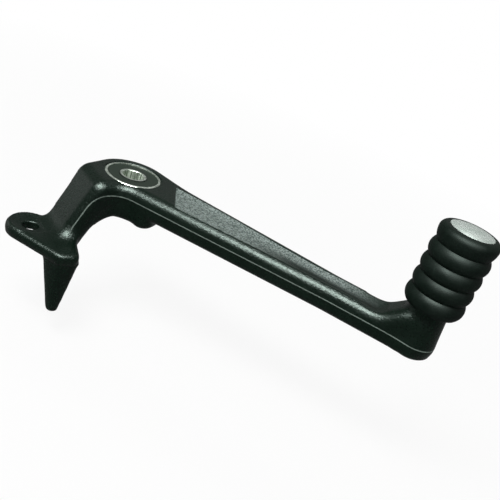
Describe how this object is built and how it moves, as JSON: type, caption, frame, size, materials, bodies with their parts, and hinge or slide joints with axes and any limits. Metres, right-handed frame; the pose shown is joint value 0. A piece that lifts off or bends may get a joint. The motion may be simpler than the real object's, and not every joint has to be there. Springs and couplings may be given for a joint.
{
  "type": "motorbike brake pedal",
  "caption": "Cast motorbike brake pedal: pivot boss with a sealed ball bearing, bent leg with a dished pushrod lug and a prong, long arm with a ribbed rubber toe peg.",
  "frame": {"origin": "on the pivot axis, in the casting's parting plane, inside the bearing's bore", "axes": "+Z along the pivot axis, from the bike outwards, the side the bearing and the toe peg are on; +X from the pivot to the toe peg; +Y away from the leg"},
  "size_m": [0.1892, 0.0643, 0.1045],
  "materials": {
    "black_paint": "satin black paint over a grainy casting",
    "bearing_steel": "ground and polished",
    "seal_rubber": "matt",
    "ball_steel": "polished",
    "pressed_steel": "pressed sheet",
    "polished_steel": "turned and polished",
    "sleeve_rubber": "satin black rubber"
  },
  "bodies": {
    "pivot": {"bearing_inner_ring": "bearing_steel"},
    "lever": {"pedal_lever": "black_paint", "bearing_outer_ring": "bearing_steel", "bearing_seal_upper": "seal_rubber", "bearing_seal_lower": "seal_rubber", "peg_pin": "polished_steel", "peg_rubber": "sleeve_rubber"},
    "cage": {"bearing_balls": "ball_steel", "bearing_cage_upper": "pressed_steel", "bearing_cage_lower": "pressed_steel", "bearing_cage_rivets": "pressed_steel"}
  },
  "joints": [
    {"name": "pedal_swing", "type": "hinge", "parent": "pivot", "child": "lever", "pos_m": [0, 0, 0], "axis": [0, 0, 1], "continuous": true},
    {"name": "cage_orbit", "type": "hinge", "parent": "pivot", "child": "cage", "pos_m": [0, 0, 0.00175], "axis": [0, 0, 1], "continuous": true}
  ],
  "couplings": [
    {"joint": "cage_orbit", "follows": "pedal_swing", "ratio": 0.63228}
  ]
}
